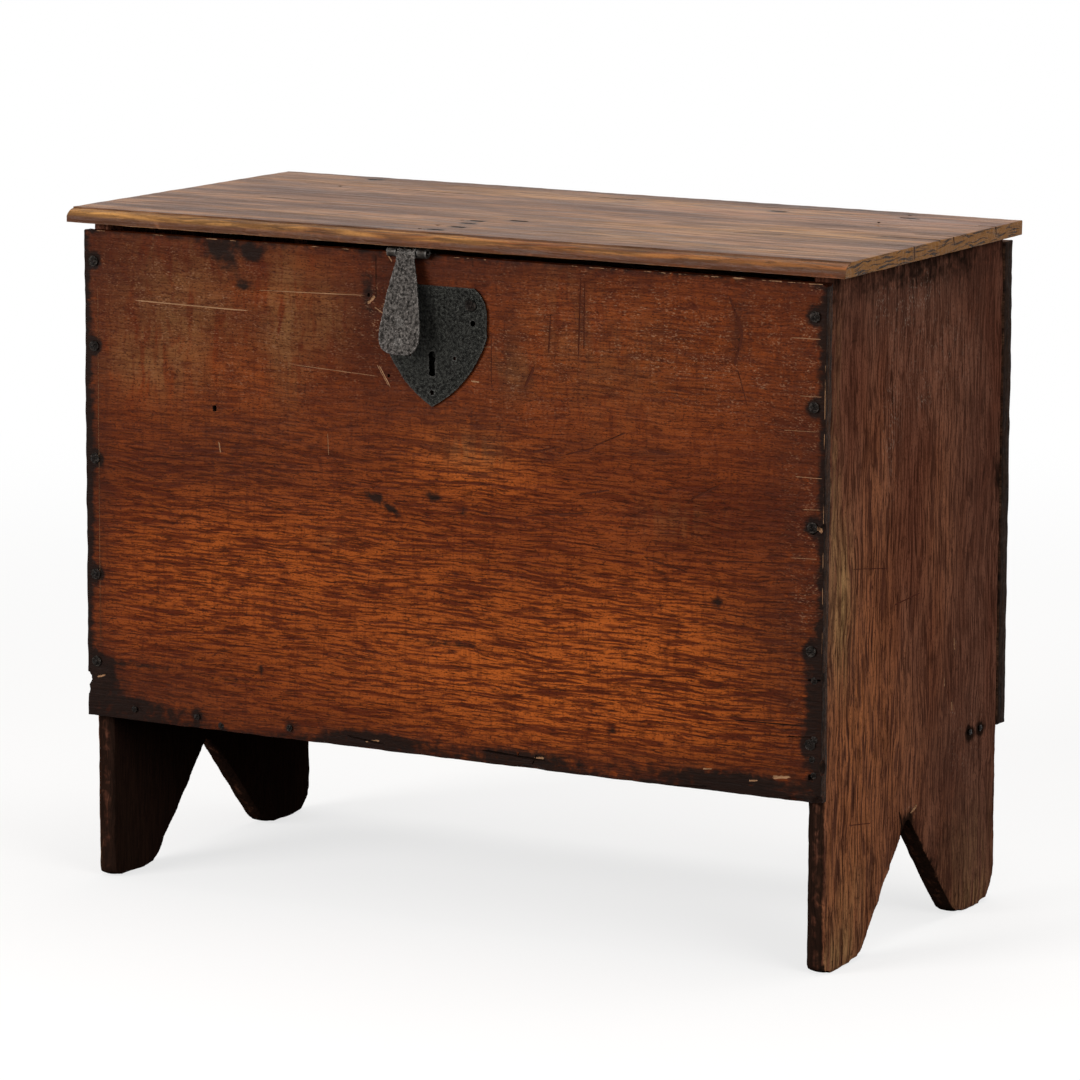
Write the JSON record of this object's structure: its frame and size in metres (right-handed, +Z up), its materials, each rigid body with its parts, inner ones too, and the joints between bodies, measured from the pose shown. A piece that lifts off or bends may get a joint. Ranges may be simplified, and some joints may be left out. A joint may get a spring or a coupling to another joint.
{
  "type": "boarded chest",
  "caption": "Boarded oak storage chest on notched end-board feet, with a hinged moulded lid, an iron shield-shaped lock plate, a sliding bolt and a swinging hasp.",
  "frame": {"origin": "on the floor, under the middle of the whole chest's box", "axes": "+X to the right of someone facing the chest, the front faces -Y, +Z up"},
  "size_m": [0.85, 0.4296, 0.6723],
  "materials": {
    "oak_front": "waxed, worn and darkened oak",
    "oak_back": "dry, unpolished oak",
    "oak_end": "waxed, dark oak with worn feet",
    "oak_inside": "dry, unpolished oak",
    "oak_lid": "waxed, faded grey-brown oak",
    "iron_nail": "forged, blackened",
    "iron_hinge": "forged, blackened, a little rust",
    "iron_hasp": "forged, worn grey",
    "iron_lock": "forged, pitted, blackened"
  },
  "bodies": {
    "carcass": {"back_board": "oak_back", "back_nail_left_1": "iron_nail", "back_nail_left_2": "iron_nail", "back_nail_left_3": "iron_nail", "back_nail_right_1": "iron_nail", "back_nail_right_2": "iron_nail", "back_nail_right_3": "iron_nail", "bolt_guide_left": "iron_lock", "bolt_guide_right": "iron_lock", "bolt_spring": "iron_lock", "bottom_board": "oak_inside", "bottom_nail_1": "iron_nail", "bottom_nail_2": "iron_nail", "bottom_nail_3": "iron_nail", "end_nail_left_1": "iron_nail", "end_nail_left_2": "iron_nail", "end_nail_right_1": "iron_nail", "end_nail_right_2": "iron_nail", "front_board": "oak_front", "front_nail_left_1": "iron_nail", "front_nail_left_2": "iron_nail", "front_nail_left_3": "iron_nail", "front_nail_left_4": "iron_nail", "front_nail_left_5": "iron_nail", "front_nail_right_1": "iron_nail", "front_nail_right_2": "iron_nail", "front_nail_right_3": "iron_nail", "front_nail_right_4": "iron_nail", "front_nail_right_5": "iron_nail", "hinge_leaf_left": "iron_hinge", "hinge_leaf_nail_left_1": "iron_nail", "hinge_leaf_nail_left_2": "iron_nail", "hinge_leaf_nail_right_1": "iron_nail", "hinge_leaf_nail_right_2": "iron_nail", "hinge_leaf_right": "iron_hinge", "hinge_pin_left": "iron_hinge", "hinge_pin_right": "iron_hinge", "key_pin": "iron_lock", "left_end_board": "oak_end", "lock_cover": "iron_lock", "lock_plate": "iron_lock", "lock_plate_nail_1": "iron_nail", "lock_plate_nail_2": "iron_nail", "right_end_board": "oak_end"},
    "lid": {"lid_board": "oak_lid", "hasp_strap": "iron_hinge", "hasp_strap_nail_1": "iron_nail", "hasp_strap_nail_2": "iron_nail", "hasp_strap_nail_3": "iron_nail", "hinge_strap_left": "iron_hinge", "hinge_strap_nail_left_1": "iron_nail", "hinge_strap_nail_left_2": "iron_nail", "hinge_strap_nail_right_1": "iron_nail", "hinge_strap_nail_right_2": "iron_nail", "hinge_strap_right": "iron_hinge", "hasp_pin": "iron_hasp"},
    "hasp": {"hasp": "iron_hasp", "hasp_staple": "iron_hasp"},
    "lock_bolt": {"lock_bolt": "iron_lock"}
  },
  "joints": [
    {"name": "lid_hinge", "type": "hinge", "parent": "carcass", "child": "lid", "pos_m": [-0.006, 0.19592, 0.6506], "axis": [-1, 0, 0], "range_deg": [0, 97]},
    {"name": "hasp_hinge", "type": "hinge", "parent": "lid", "child": "hasp", "pos_m": [-0.0403, -0.19328, 0.65085], "axis": [-1, 0, 0], "range_deg": [-11, 75]},
    {"name": "bolt_slide", "type": "slide", "parent": "carcass", "child": "lock_bolt", "axis": [-1, 0, 0], "range_m": [0, 0.014]}
  ]
}
